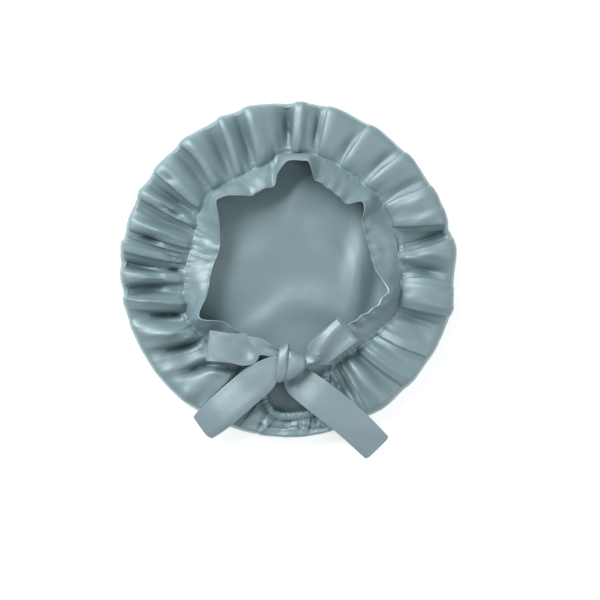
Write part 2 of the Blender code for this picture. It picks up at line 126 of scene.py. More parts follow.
# Ribbons and bow
RIBBON_THICKNESS = 0.0009
TAIL_WIDTH = 0.028
LOOP_WIDTH = 0.026
LEFT_TAIL_LENGTH = 0.091
RIGHT_TAIL_LENGTH = 0.103
LEFT_LOOP_LENGTH = 0.062
RIGHT_LOOP_LENGTH = 0.049
LEFT_LOOP_GAP = 0.0052
RIGHT_LOOP_GAP = 0.0056
LOOP_ROOT_GAP = 0.0020
CORNER_SHARE = 0.034
CORNER_CUT = 0.20
KNOT_DEPTH = 0.0150
KNOT_WALL = 0.0012
KNOT_CRINKLE = 0.0005
KNOT_LOW, KNOT_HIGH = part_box("bow_knot")
KNOT = (KNOT_LOW + KNOT_HIGH) / 2

# Colours, with a painted crease shade and a painted edge highlight, and the stitches' places across the band
SATIN = (0.212, 0.324, 0.353)
SATIN_DEEP = (0.155, 0.252, 0.280)
BAND = (0.222, 0.332, 0.362)
BAND_DEEP = (0.165, 0.262, 0.290)
RIBBON = (0.238, 0.345, 0.378)
RIBBON_DEEP = (0.180, 0.275, 0.305)
# Painted shade for the ring's deep valleys, and also the colour of the stitches' thread
PAINTED_SHADE_AND_STITCH_COLOUR = (0.062, 0.118, 0.130)
# Painted highlight along the band's folded free edge: its colour and its place across the band
PAINTED_EDGE_HIGHLIGHT_COLOUR = (0.46, 0.57, 0.61)
PAINTED_EDGE_HIGHLIGHT_PLACE = 0.0273
STITCH_STEP = 0.0030
STITCH_PLACES = (0.0024, BAND_WIDTH - 0.0022)

# Tiny distance within which vertices are merged
MERGE = 0.000002

# The crown's section from the floor's edge, round the rim and in to the mouth. out: radius past the floor, as
# a share of the rim's roll; inward: share of the way from the rim to the mouth; up: share of the crown's
# height; fold: share of the full folds.
SECTIONS = table(
    "out inward up fold",
    (0.00, 0.00, 0.00, 0.00),
    (0.72, 0.00, 0.07, 0.06),
    (1.00, 0.00, 0.34, 0.16),
    (1.00, 0.024, 0.77, 0.46),
    (1.00, 0.110, 0.962, 0.88),
    (1.00, 0.40, 1.00, 1.00),
    (1.00, 0.72, 0.96, 1.00),
    (1.00, 0.90, 0.88, 0.80),
    (1.00, 0.975, 0.79, 0.46),
    (1.00, 1.020, 0.76, 0.30),
    (1.00, 1.055, 0.64, 0.20),
)

# The folds. mouth, middle, rim: bearings of the fold line; over: -1 where the clockwise panel lies over, +1
# where it lies under; rise: share of the fold rise; far: share of the rise left at the rim; sag, puff: the
# panel that follows, as shares of the fold rise; bump: share of the rim bump; soft: from 0, a sharp turn, to
# 1, a slack one; bead: how full its edge is rolled.
FOLDS = table(
    "mouth middle rim over rise far sag puff bump soft bead",
    (2.0, 2.2, 2.6, -1, 0.95, 0.9, 0.10, 0.00, 0.6, 0.0, 1.0),
    (14.5, 14.4, 13.8, -1, 0.65, 1.0, 0.00, 0.05, 1.0, 0.0, 0.2),
    (26.8, 28.0, 29.6, -1, 0.58, 1.2, 0.04, 0.00, 0.3, 0.0, 0.5),
    (41.8, 43.2, 45.2, -1, 0.62, 1.2, 0.04, 0.00, 0.2, 0.0, 0.5),
    (55.8, 57.6, 59.8, -1, 0.60, 1.1, 0.04, 0.00, 0.1, 0.0, 0.5),
    (67.5, 71.8, 74.0, 1, 0.60, 1.2, 0.25, 0.00, 0.1, 0.0, 0.4),
    (81.2, 80.4, 78.8, -1, 0.95, 1.0, 0.10, 0.20, 0.8, 0.0, 1.0),
    (94.2, 93.2, 96.0, -1, 0.70, 0.7, 0.00, 0.10, 0.0, 0.0, 1.0),
    (108.2, 107.2, 105.8, 1, 0.72, 0.9, -0.05, 0.00, 1.0, 0.0, 1.0),
    (126.0, 124.0, 121.5, 1, 0.55, 0.6, -0.10, 0.00, 0.2, 0.0, 1.0),
    (139.2, 137.0, 134.5, 1, 0.90, 0.5, -0.35, 0.00, 0.0, 0.0, 1.0),
    (150.5, 150.2, 150.0, 1, 0.70, 0.6, 0.10, 0.00, 0.0, 0.0, 1.0),
    (205.5, 209.0, 213.5, -1, 0.55, 0.2, 0.00, 0.10, 0.0, 0.8, 1.0),
    (231.3, 236.6, 241.5, -1, 0.70, 0.1, -0.10, 0.10, 0.0, 0.9, 1.0),
    (247.3, 252.5, 256.8, -1, 0.85, 0.4, -0.10, 0.00, 0.2, 0.5, 1.0),
    (262.3, 264.8, 264.8, -1, 0.75, 0.5, 0.10, 0.00, 0.1, 0.6, 1.0),
    (273.8, 274.8, 276.8, -1, 0.95, 0.7, 0.15, 0.00, 0.9, 0.3, 1.0),
    (281.8, 283.2, 284.6, -1, 0.80, 0.6, 0.05, 0.00, 0.1, 0.3, 1.0),
    (294.4, 295.2, 296.2, -1, 0.95, 0.9, 0.30, 0.00, 0.5, 0.0, 1.0),
    (304.0, 305.4, 306.2, -1, 0.85, 0.7, 0.10, 0.10, 0.0, 0.0, 0.5),
    (316.6, 320.2, 319.0, -1, 0.85, 0.9, 0.14, 0.00, 0.0, 0.0, 0.3),
    (330.4, 334.0, 334.8, -1, 0.85, 0.9, 0.14, 0.00, 0.0, 0.0, 0.3),
    (343.4, 344.8, 344.0, -1, 0.95, 0.9, 0.12, 0.00, 0.5, 0.0, 0.4),
)
NAPE_GATHERS = 7
NAPE_RISE = 0.30

# How slack the ring's cloth lies, from 0, drawn flat, to 1 and over, where the elastic crumples it.
SLACKNESS = table(
    "bearing slack",
    (0.0, 0.55),
    (14.0, 0.30),
    (60.0, 0.30),
    (80.0, 0.75),
    (112.0, 0.60),
    (140.0, 0.90),
    (154.0, 1.10),
    (163.0, 0.90),
    (180.0, 0.80),
    (198.0, 1.20),
    (215.0, 1.10),
    (300.0, 1.10),
    (315.0, 0.60),
    (340.0, 0.60),
)

# Single puffs and dents pressed into the ring. at, out: bearing and distance from the crown's axis; long,
# wide: reach of the dent along its own line and across it; turn: degrees from the radial line, clockwise;
# lift: height.
DENTS = table(
    "at out long wide turn lift",
    (89.5, 0.126, 0.016, 0.0042, 12.0, -0.0056),
    (87.0, 0.120, 0.022, 0.0045, 25.0, 0.0034),
    (69.5, 0.137, 0.014, 0.0040, -8.0, 0.0020),
    (104.0, 0.140, 0.014, 0.0050, 0.0, 0.0022),
    (116.5, 0.128, 0.020, 0.0070, -15.0, -0.0032),
    (131.5, 0.108, 0.014, 0.0070, -20.0, 0.0026),
    (143.5, 0.122, 0.022, 0.0075, 4.0, 0.0040),
    (149.0, 0.112, 0.018, 0.0030, 5.0, -0.0046),
    (154.0, 0.118, 0.016, 0.0045, 0.0, -0.0050),
    (218.5, 0.143, 0.009, 0.0060, 0.0, 0.0022),
    (214.0, 0.142, 0.012, 0.0040, 0.0, -0.0020),
    (244.0, 0.122, 0.016, 0.0060, 5.0, 0.0026),
    (290.0, 0.121, 0.016, 0.0036, 0.0, -0.0044),
    (301.3, 0.124, 0.018, 0.0032, 0.0, -0.0044),
    (307.6, 0.136, 0.007, 0.0018, -4.0, -0.0030),
    (323.0, 0.141, 0.010, 0.0040, 0.0, 0.0014),
    (335.5, 0.141, 0.010, 0.0045, 0.0, 0.0014),
    (346.5, 0.137, 0.012, 0.0042, 0.0, 0.0016),
    (0.2, 0.130, 0.016, 0.0030, 0.0, -0.0056),
    (26.5, 0.142, 0.009, 0.0045, 0.0, 0.0014),
    (40.0, 0.143, 0.008, 0.0060, 0.0, 0.0012),
    (100.5, 0.128, 0.020, 0.0080, -6.0, 0.0020),
    (84.5, 0.136, 0.014, 0.0050, 20.0, 0.0024),
    (110.8, 0.125, 0.020, 0.0030, 0.0, -0.0026),
    (158.0, 0.110, 0.010, 0.0028, -20.0, -0.0050),
    (76.8, 0.138, 0.012, 0.0034, -6.0, -0.0044),
    (63.0, 0.132, 0.014, 0.0060, 0.0, 0.0020),
    (55.0, 0.128, 0.018, 0.0034, 3.0, -0.0020),
    (41.0, 0.128, 0.018, 0.0034, 3.0, -0.0022),
    (26.0, 0.126, 0.016, 0.0034, 3.0, -0.0020),
    (124.5, 0.128, 0.020, 0.0060, -15.0, 0.0026),
    (11.8, 0.130, 0.018, 0.0026, -3.0, -0.0030),
    (316.8, 0.127, 0.021, 0.0058, 4.0, -0.0030),
    (330.6, 0.127, 0.021, 0.0058, 3.0, -0.0030),
    (341.8, 0.127, 0.019, 0.0050, 0.0, -0.0024),
    (296.8, 0.1145, 0.0112, 0.0024, -4.0, -0.0076),
    (283.4, 0.1270, 0.0125, 0.0029, 0.0, -0.0085),
    (276.2, 0.1040, 0.0100, 0.0029, 20.0, -0.0068),
    (270.6, 0.1300, 0.0225, 0.0039, 14.0, -0.0085),
    (270.0, 0.1000, 0.006, 0.0020, 0.0, -0.0064),
    (267.6, 0.1260, 0.018, 0.0026, 8.0, 0.0020),
    (262.6, 0.1310, 0.0213, 0.0044, 0.0, -0.0095),
    (257.4, 0.1300, 0.016, 0.0030, 6.0, 0.0024),
    (249.6, 0.1130, 0.0213, 0.0032, 15.0, -0.0085),
    (234.3, 0.1175, 0.0200, 0.0037, 20.0, -0.0089),
    (228.0, 0.1300, 0.020, 0.0060, 24.0, 0.0022),
    (222.7, 0.1200, 0.0163, 0.0040, 30.0, -0.0095),
    (213.8, 0.1040, 0.0150, 0.0035, 64.0, -0.0072),
    (215.5, 0.1130, 0.010, 0.0030, 60.0, 0.0024),
    (180.0, 0.1395, 0.028, 0.0018, 90.0, -0.0024),
    (181.0, 0.1435, 0.024, 0.0020, 90.0, 0.0018),
    (175.6, 0.1417, 0.0050, 0.0013, 0.0, -0.0030),
    (173.8, 0.1417, 0.0055, 0.0016, 8.0, 0.0020),
    (189.8, 0.1406, 0.0095, 0.0018, 14.0, -0.0034),
    (187.6, 0.1420, 0.0085, 0.0018, 10.0, 0.0022),
    (168.0, 0.1400, 0.0100, 0.0030, -40.0, -0.0016),
)

# Soft swells of the loose cloth under the mouth. at, out, long, wide, lift: as for the dents; turn: bearing
# of the swell's own line.
FLOOR_SWELLS = table(
    "at out long wide turn lift",
    (98.0, 0.063, 0.038, 0.0075, 6.0, 0.0070),
    (60.0, 0.038, 0.030, 0.013, 150.0, 0.0034),
    (300.0, 0.030, 0.034, 0.014, 70.0, 0.0026),
    (150.0, 0.035, 0.030, 0.011, 110.0, 0.0026),
    (10.0, 0.070, 0.022, 0.012, 20.0, 0.0034),
    (70.0, 0.055, 0.022, 0.009, 350.0, -0.0030),
    (195.0, 0.040, 0.030, 0.010, 60.0, 0.0026),
    (250.0, 0.050, 0.026, 0.010, 30.0, 0.0020),
    (283.0, 0.078, 0.050, 0.018, 8.0, 0.0080),
    (104.0, 0.081, 0.020, 0.0070, 12.0, -0.0046),
    (20.0, 0.045, 0.030, 0.012, 80.0, 0.0022),
)

# The mouth's edge. radius: share of the mouth's radius; height: share of the seam's height.
MOUTH = table(
    "bearing radius height",
    (0.0, 1.033, 1.00),
    (14.0, 1.044, 1.00),
    (28.0, 1.021, 1.00),
    (40.0, 1.006, 1.00),
    (50.0, 1.029, 1.02),
    (60.0, 1.008, 1.00),
    (80.0, 0.997, 1.00),
    (95.0, 1.010, 1.00),
    (103.0, 1.032, 1.02),
    (112.0, 1.018, 1.00),
    (122.0, 0.982, 1.00),
    (132.0, 0.954, 1.00),
    (145.0, 0.934, 1.00),
    (153.5, 0.930, 0.98),
    (157.0, 0.975, 0.94),
    (160.0, 1.070, 0.86),
    (163.0, 1.190, 0.78),
    (167.0, 1.295, 0.70),
    (173.0, 1.325, 0.66),
    (181.0, 1.330, 0.66),
    (186.0, 1.310, 0.68),
    (190.0, 1.230, 0.76),
    (193.5, 1.120, 0.84),
    (198.0, 1.010, 0.94),
    (204.0, 0.957, 0.98),
    (212.0, 0.955, 1.00),
    (222.0, 0.940, 1.00),
    (230.0, 0.948, 1.00),
    (243.0, 0.986, 1.02),
    (251.0, 0.950, 1.00),
    (262.0, 0.927, 1.00),
    (275.0, 0.896, 1.00),
    (285.0, 0.878, 1.00),
    (293.0, 0.888, 1.00),
    (302.0, 0.925, 1.00),
    (315.0, 0.966, 1.02),
    (323.0, 0.941, 1.00),
    (333.0, 0.930, 1.00),
    (345.0, 0.946, 1.00),
    (351.0, 0.970, 1.00),
    (355.0, 1.018, 1.02),
)

# How far the head band leans in over the mouth, in degrees from upright. Bearings past 360 carry on round.
BAND_LEANS = table(
    "bearing lean",
    (203.0, 76.0),
    (212.0, 76.0),
    (220.0, 67.0),
    (230.0, 58.0),
    (236.0, 38.0),
    (242.0, 24.0),
    (250.0, 44.0),
    (262.0, 64.0),
    (275.0, 68.0),
    (288.0, 72.0),
    (297.0, 61.0),
    (305.0, 49.0),
    (311.0, 32.0),
    (315.5, 19.0),
    (322.0, 25.0),
    (330.0, 42.0),
    (336.0, 50.0),
    (350.0, 50.0),
    (354.0, 40.0),
    (361.0, 14.0),
    (370.0, 14.0),
    (378.0, 54.0),
    (390.0, 56.0),
    (402.0, 58.0),
    (408.5, 29.0),
    (417.0, 60.0),
    (430.0, 71.0),
    (446.0, 66.0),
    (453.0, 50.0),
    (460.0, 28.0),
    (467.0, 36.0),
    (478.0, 50.0),
    (490.0, 61.0),
    (505.0, 66.0),
    (515.0, 70.0),
)


def mix(low, high, share):
    return low + (high - low) * share


def eased(share):
    share = min(max(share, 0.0), 1.0)
    return share * share * (3 - 2 * share)


def crest(value, middle, spread):
    """A smooth hump, 1 at its middle."""
    return exp(-(((value - middle) / spread) ** 2))


def plan(bearing, radius, height):
    """The point at a bearing, a distance from the crown's axis and a height."""
    return Vector((radius * sin(radians(bearing)), radius * cos(radians(bearing)), height))


def bearing_of(point):
    return degrees(atan2(point.x, point.y)) % 360


def round_table(rows, bearing, column, closed=False):
    """A table's column at a bearing, on a smooth curve that never overshoots its rows."""
    count = len(rows)
    if closed:
        bearing = rows[0]["bearing"] + (bearing - rows[0]["bearing"]) % 360
    spot = count - 1 if closed else count - 2
    for n in range(count - 1):
        if bearing < rows[n + 1]["bearing"]:
            spot = n
            break

    def row(n):
        if closed:
            return rows[n % count]["bearing"] + 360 * (n // count), rows[n % count][column]
        n = min(max(n, 0), count - 1)
        return rows[n]["bearing"], rows[n][column]

    (x0, y0), (x1, y1), (x2, y2), (x3, y3) = row(spot - 1), row(spot), row(spot + 1), row(spot + 2)
    width = x2 - x1

    def slope(xa, ya, xb, yb, xc, yc):
        before = (yb - ya) / (xb - xa) if xb > xa else 0.0
        after = (yc - yb) / (xc - xb) if xc > xb else 0.0
        return 2 * before * after / (before + after) if before * after > 0 else 0.0

    share = min(max((bearing - x1) / width, 0.0), 1.0)
    a, b = slope(x0, y0, x1, y1, x2, y2) * width, slope(x1, y1, x2, y2, x3, y3) * width
    square, cube = share * share, share**3
    base = (2 * cube - 3 * square + 1) * y1 + (3 * square - 2 * cube) * y2
    return base + (cube - 2 * square + share) * a + (cube - square) * b


def smooth_rows(rows, value, column):
    """A table's column on a smooth curve through its rows, at a value that counts rows from 0."""
    low = min(max(int(value), 0), len(rows) - 2)
    share = value - low
    a, b, c, d = [rows[min(max(low + k, 0), len(rows) - 1)][column] for k in (-1, 0, 1, 2)]
    bend = (2 * a - 5 * b + 4 * c - d) * share**2 + (3 * b - a - 3 * c + d) * share**3
    return 0.5 * (2 * b + (c - a) * share + bend)


def ripple(*where, octaves=2):
    """Smooth fixed noise, about -1 to 1."""
    return noise.fractal(Vector(where), 1.0, 2.0, octaves, noise_basis="PERLIN_NEW")


def mouth_edge(bearing):
    """(radius, height) of the crown's edge at the mouth."""
    radius = MOUTH_RADIUS * round_table(MOUTH, bearing, "radius", closed=True)
    return radius, SEAM_HEIGHT * round_table(MOUTH, bearing, "height", closed=True)


def all_folds():
    """The folds, with the gathers that the nape's elastic pulls up between the two folds beside it."""
    folds = [dict(fold) for fold in FOLDS]
    after = max(i for i, fold in enumerate(folds) if fold["mouth"] < 160)
    first, last = folds[after], folds[after + 1]
    for n in range(NAPE_GATHERS):
        share = (n + 1) / (NAPE_GATHERS + 1)
        gather = dict(over=1 if n % 2 else -1, rise=NAPE_RISE * (1 + 0.4 * sin(7.3 * n)), far=0.1)
        gather.update(sag=0.0, puff=0.0, bump=0.0, soft=0.0, bead=1.0)
        gather.update({key: mix(first[key], last[key], share) for key in ("mouth", "middle", "rim")})
        folds.insert(after + 1 + n, gather)
    return folds


def fold_columns(folds):
    """The crown's columns: each fold's turn and the panel that follows it, as (fold, where, share)."""
    columns = []
    for i, fold in enumerate(folds):
        columns += [(i, "turn", n / TURN_COLUMNS) for n in range(TURN_COLUMNS + 1)]
        width = (folds[(i + 1) % len(folds)]["mouth"] - fold["mouth"]) % 360
        inner = max(2, round(width / PANEL_COLUMN))
        columns += [(i, "panel", (n + 1) / (inner + 1)) for n in range(inner)]
    return columns


def turn_shape(share, lean):
    """Across a fold's turn: (place from -1 to 1, level from 0 to 1). It overhangs as lean passes 1."""
    handle = mix(-1 / 3, 1.0, lean)
    a, b, c, d = (1 - share) ** 3, 3 * (1 - share) ** 2 * share, 3 * (1 - share) * share**2, share**3
    return -a + b * handle - c * handle + d, c + d


def fold_bearing(fold, inward):
    """The fold line's bearing at a reach, on a curve through its three bearings."""
    rim, middle, mouth = fold["rim"], fold["middle"], fold["mouth"]
    outer = rim * (1 - inward) * (1 - 2 * inward)
    return outer + middle * 4 * inward * (1 - inward) + mouth * inward * (2 * inward - 1)


def fold_place(folds, column, inward, strength):
    """(bearing, lift, bump) of a column at a reach, where the folds have a share of their full strength."""
    i, where, share = column
    fold, after = folds[i], folds[(i + 1) % len(folds)]

    def half_turn(one, other):
        gap = (other["mouth"] - one["mouth"]) % 360
        return min(degrees(FOLD_TURN / RING_RADIUS) * (1 + 1.6 * one["soft"]), gap / 2.6)

    def high(one):
        return one["rise"] * FOLD_RISE * strength * mix(one["far"], 1.0, eased(inward * 1.6)) / 2

    def sides(one):
        return (-high(one), high(one)) if one["over"] < 0 else (high(one), -high(one))

    if where == "turn":
        lean = mix(1.32, 0.55, fold["soft"])
        place, level = turn_shape(share, lean * min(1.0, strength * 1.3))
        bearing = fold_bearing(fold, inward) + place * half_turn(fold, after)
        return bearing, mix(*sides(fold), level), fold["bump"]
    start = fold_bearing(fold, inward) + half_turn(fold, after)
    end = fold_bearing(after, inward) - half_turn(after, folds[(i + 2) % len(folds)])
    end += 360 if end < start - 180 else 0
    hump = 4 * share * (1 - share)
    left, right = sides(fold)[1], sides(after)[0]
    lift = mix(left, right, mix(share, eased(share), 0.7))
    lift += BEAD_RISE * fold["bead"] * left * crest(share, BEAD_PLACE, BEAD_SPREAD)
    lift += BEAD_RISE * after["bead"] * right * crest(1 - share, BEAD_PLACE, BEAD_SPREAD)
    lift += hump * (fold["puff"] - fold["sag"]) * FOLD_RISE * strength
    return mix(start, end, share), lift, mix(fold["bump"], after["bump"], eased(share))


def dent_lift(point):
    """How far the single puffs and dents move a point of the ring."""
    total = 0.0
    for dent in DENTS:
        away = point - plan(dent["at"], dent["out"], 0)
        if abs(away.x) > 0.04 or abs(away.y) > 0.04:
            continue
        line = plan(dent["at"] + dent["turn"], 1, 0)
        along = away.x * line.x + away.y * line.y
        across = away.x * line.y - away.y * line.x
        total += dent["lift"] * exp(-((along / dent["long"]) ** 2) - (across / dent["wide"]) ** 2)
    return total


def section_at(value, bearing):
    """(radius, height) of the unfolded crown at a value that counts sections from 0."""
    inward, out, up = [smooth_rows(SECTIONS, value, key) for key in ("inward", "out", "up")]
    edge, seam = mouth_edge(bearing)
    radius = mix(mix(FLOOR_RADIUS, RIM_RADIUS, out), edge, inward)
    return radius, CROWN_HEIGHT * up - (SEAM_HEIGHT - seam) * inward


def crown_point(folds, column, value):
    """(point, share of painted crease shade) of the crown's outer face at a value that counts sections from
    0.
    """
    inward = smooth_rows(SECTIONS, value, "inward")
    strength = smooth_rows(SECTIONS, value, "fold")
    bearing, lift, bump = fold_place(folds, column, inward, strength)
    radius, height = section_at(value, bearing)
    before, after = section_at(value - 0.1, bearing), section_at(value + 0.1, bearing)
    run, climb = after[0] - before[0], after[1] - before[1]
    length = hypot(run, climb) or 1.0
    outward, up = climb / length, -run / length
    flat = plan(bearing, radius, 0)
    lift += dent_lift(flat) * min(1.0, strength * 1.4)
    # Painted shade: the deeper the valley, the more its colour is darkened
    crease = min(max((PAINTED_SHADE_LEVEL - lift) / PAINTED_SHADE_DEPTH, 0.0), 1.0) * strength
    slack = round_table(SLACKNESS, bearing, "slack", closed=True)
    pucker = crest(inward, 1.0, 0.20) * mix(FLAT_PUCKER, SLACK_PUCKER, min(slack, 1.0))
    lift += pucker * ripple(bearing * 0.42, inward * 1.2, 3.1)
    drift = 4.0 * inward * ripple(bearing * 0.05, 1.0, 8.8)
    streaks = ripple(bearing * 0.13 + drift, inward * 1.3, 6.4, octaves=3)
    lift += CREASING * strength * slack * (1.5 * streaks + 0.3 * ripple(flat.x * 45, flat.y * 45, 7.7))
    push = RIM_BUMP * bump * max(0.0, 1 - 2.2 * inward) * min(1.0, value / 2)
    return plan(bearing, radius + lift * outward + push, max(height + lift * up, 0.0)), crease


def floor_point(bearing, share):
    """The loose cloth that lies under the mouth."""
    flat = plan(bearing, share * FLOOR_RADIUS, 0)
    lift = FLOOR_WAVE * (1 + ripple(flat.x * 13 + 3, flat.y * 13, 1.3, octaves=1))
    lift += FLOOR_RIPPLE * (1 + ripple(flat.x * 24, flat.y * 24 + 5, 5.0, octaves=1))
    for swell in FLOOR_SWELLS:
        away = flat - plan(swell["at"], swell["out"], 0)
        line = plan(swell["turn"], 1, 0)
        along, across = away.dot(line), away.x * line.y - away.y * line.x
        lift += swell["lift"] * exp(-((along / swell["long"]) ** 2) - (across / swell["wide"]) ** 2)
    return flat + Vector((0, 0, max(lift, 0.0) * (1 - share**4)))


def lathe(profile, steps):
    """A bmesh spun once round the upright axis from (radius, height) pairs."""
    bm = bmesh.new()
    verts = [bm.verts.new((radius, 0, height)) for radius, height in profile]
    edges = [bm.edges.new(pair) for pair in zip(verts, verts[1:])]
    bmesh.ops.spin(
        bm, geom=verts + edges, cent=(0, 0, 0), axis=(0, 0, -1), dvec=(0, 0, 0),
        angle=2 * pi, steps=steps, use_merge=True, use_duplicate=False,
    )
    return bm


def moved_tube(columns, rows, place):
    """A grid whose vertex in a column and row goes to place(column, row), closed to a tube across its rows.

    Its UV map, "cloth", holds the column and row as distances along the cloth, in metres."""
    bm = bmesh.new()
    made = bmesh.ops.create_grid(bm, x_segments=columns, y_segments=rows, size=0.5)
    spots = {}
    for vertex in made["verts"]:
        spots[vertex] = (round((vertex.co.x + 0.5) * columns), round((vertex.co.y + 0.5) * rows))
    for vertex, (column, row) in spots.items():
        vertex.co = place(column, row % rows)

    def travel(way, count):
        lengths = [[] for n in range(count)]
        for edge in bm.edges:
            one, other = spots[edge.verts[0]], spots[edge.verts[1]]
            if one[1 - way] == other[1 - way]:
                lengths[min(one[way], other[way])].append(edge.calc_length())
        return [sum(sum(step) / len(step) for step in lengths[:n]) for n in range(count + 1)]

    along, across = travel(0, columns), travel(1, rows)
    layer = bm.loops.layers.uv.new("cloth")
    for face in bm.faces:
        for loop in face.loops:
            column, row = spots[loop.vert]
            loop[layer].uv = (along[column], across[row])
    bmesh.ops.remove_doubles(bm, verts=bm.verts, dist=MERGE)
    return bm


def close_ends(bm):
    bmesh.ops.holes_fill(bm, edges=[edge for edge in bm.edges if edge.is_boundary], sides=0)
    bmesh.ops.recalc_face_normals(bm, faces=bm.faces)


def bulged(value, power):
    """A number from -1 to 1 raised to a power, with its sign kept."""
    return copysign(abs(value) ** power, value)


def finish_piece(name, bm, material, smooth=60.0):
    mesh = bpy.data.meshes.new(name)
    bm.to_mesh(mesh)
    bm.free()
    mesh.shade_smooth()
    mesh.set_sharp_from_angle(angle=radians(smooth))
    mesh.materials.append(material)
    piece = bpy.data.objects.new(name, mesh)
    bpy.context.scene.collection.objects.link(piece)
    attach(piece, "root")
    return piece


def give_wall(piece, thickness):
    wall = piece.modifiers.new("wall", "SOLIDIFY")
    wall.thickness = thickness
    wall.offset = -1.0
    wall.use_rim = True


class Maths:
    """A node socket, or a number, that Python's operators turn into Math nodes."""

    def __init__(self, shader, socket):
        self.shader, self.socket = shader, socket

    def _join(self, operation, other, swap=False):
        pair = (other, self) if swap else (self, other)
        return self.shader.node("ShaderNodeMath", {"operation": operation}, pair)

    def __add__(self, other):
        return self._join("ADD", other)

    def __radd__(self, other):
        return self._join("ADD", other, True)

    def __sub__(self, other):
        return self._join("SUBTRACT", other)

    def __rsub__(self, other):
        return self._join("SUBTRACT", other, True)

    def __mul__(self, other):
        return self._join("MULTIPLY", other)

    def __rmul__(self, other):
        return self._join("MULTIPLY", other, True)

    def __abs__(self):
        return self._join("ABSOLUTE", 0.0)

    def sine(self):
        return self._join("SINE", 0.0)

    def clamped(self):
        return self.shader.node("ShaderNodeClamp", inputs=(self,))


class Shader:
    """One material's node tree, with its Principled shader."""

    def __init__(self, name):
        self.material = bpy.data.materials.new(name)
        self.material.use_nodes = True
        self.tree = self.material.node_tree
        self.surface = self.tree.nodes["Principled BSDF"]

    def node(self, kind, settings=None, inputs=(), output=0):
        made = self.tree.nodes.new(kind)
        for key, value in (settings or {}).items():
            setattr(made, key, value)
        pairs = inputs.items() if isinstance(inputs, dict) else enumerate(inputs)
        for key, value in pairs:
            self.feed(made.inputs[key], value)
        return Maths(self, made.outputs[output])

    def feed(self, socket, value):
        if isinstance(value, Maths):
            self.tree.links.new(value.socket, socket)
        elif hasattr(value, "__len__") and len(value) == 3 and socket.type == "RGBA":
            socket.default_value = (*value, 1.0)
        else:
            socket.default_value = value

    def set(self, **values):
        for key, value in values.items():
            self.feed(self.surface.inputs[key.replace("_", " ")], value)

    def mapped(self, scale, coordinates="Object"):
        source = self.node("ShaderNodeTexCoord", output={"UV": 2, "Object": 3}[coordinates])
        return self.node("ShaderNodeMapping", inputs={"Vector": source, "Scale": scale})

    def noise(self, scale, detail=2.0, stretch=(1, 1, 1), coordinates="Object", roughness=0.5):
        place = self.mapped(stretch, coordinates)
        values = {"Vector": place, "Scale": scale, "Detail": detail, "Roughness": roughness}
        return self.node("ShaderNodeTexNoise", inputs=values)

    def blend(self, low, high, factor):
        mixer = {"data_type": "RGBA", "blend_type": "MIX"}
        return self.node("ShaderNodeMix", mixer, {0: factor, 6: low, 7: high}, output=2)

    def bump(self, height, strength, distance):
        values = {"Height": height, "Strength": strength, "Distance": distance}
        return self.node("ShaderNodeBump", inputs=values)


def stitches(shader, along, across):
    """Rows of small stitches along the band, at their places across it: 1 on a stitch, 0 beside it."""
    dash = (((along * (2 * pi / STITCH_STEP)).sine() + 0.3) * 3.0).clamped()
    rows = [(1.0 - abs(across - place) * 3000).clamped() for place in STITCH_PLACES]
    return dash * (rows[0] + rows[1])


def satin(name, colour, deep, drawn_from, drawn_depth, sewn=False):
    """Satin: fine warp threads that streak its gloss, over soft wrinkles too small to model.

    The wrinkles that the gathers draw start at drawn_from metres from the middle, and have a share of the
    relief. The crown's deep valleys are painted darker, as painted shade. A sewn strip has rows of stitches
    and a painted highlight, a lighter line of colour, along its folded edge."""
    shader = Shader(name)
    threads = shader.noise(1.0, 2.0, (3600, 240, 240))
    slubs = shader.noise(1.0, 2.0, (900, 60, 60))
    level = (shader.mapped((1, 1, 0)),)
    reach = shader.node("ShaderNodeVectorMath", {"operation": "LENGTH"}, level, output=1)
    gathered = ((reach - drawn_from) * 60.0).clamped()
    drawn = shader.noise(1.0, 3.0, (210, 42, 1), "UV", roughness=0.6) * gathered
    cloudy = shader.noise(16.0, 3.0)
    creased = shader.noise(70.0, 4.0, roughness=0.65)
    tone = shader.blend(deep, colour, 0.30 + cloudy * 0.5 + threads * 0.30)
    # Painted shade: the crown's deep valleys are tinted towards a dark colour
    crease = shader.node("ShaderNodeAttribute", {"attribute_name": "crease"}, output=2)
    tone = shader.blend(tone, PAINTED_SHADE_AND_STITCH_COLOUR, crease * 0.88)
    height = drawn * drawn_depth + creased * 0.30 + slubs * 0.08 + threads * 0.07
    if sewn:
        cloth = (shader.mapped((1, 1, 1), "UV"),)
        along, across = [shader.node("ShaderNodeSeparateXYZ", inputs=cloth, output=n) for n in (0, 1)]
        # Painted highlight: a lighter line of colour along the band's folded edge
        edge = (1.0 - abs(across - PAINTED_EDGE_HIGHLIGHT_PLACE) * 800).clamped()
        tone = shader.blend(tone, PAINTED_EDGE_HIGHLIGHT_COLOUR, edge * 0.5)
        stitch = stitches(shader, along, across)
        tone = shader.blend(tone, PAINTED_SHADE_AND_STITCH_COLOUR, stitch * 0.45)
        height = height - stitch * 0.30
    shader.set(
        Base_Color=tone,
        Roughness=0.42 + threads * 0.06 + cloudy * 0.06,
        Metallic=0.16,
        IOR=1.90,
        Sheen_Weight=0.25,
        Sheen_Roughness=0.35,
        Sheen_Tint=(0.90, 0.95, 1.0),
        Normal=shader.bump(height, 0.55, 0.0016),
    )
    return shader.material


def plain(name, colour, roughness, glow):
    shader = Shader(name)
    tone = shader.blend(colour, [part * 0.985 for part in colour], shader.noise(9.0, 2.0))
    shader.set(Base_Color=tone, Roughness=roughness)
    shader.set(Emission_Color=(1.0, 1.0, 1.0), Emission_Strength=glow)
    return shader.material


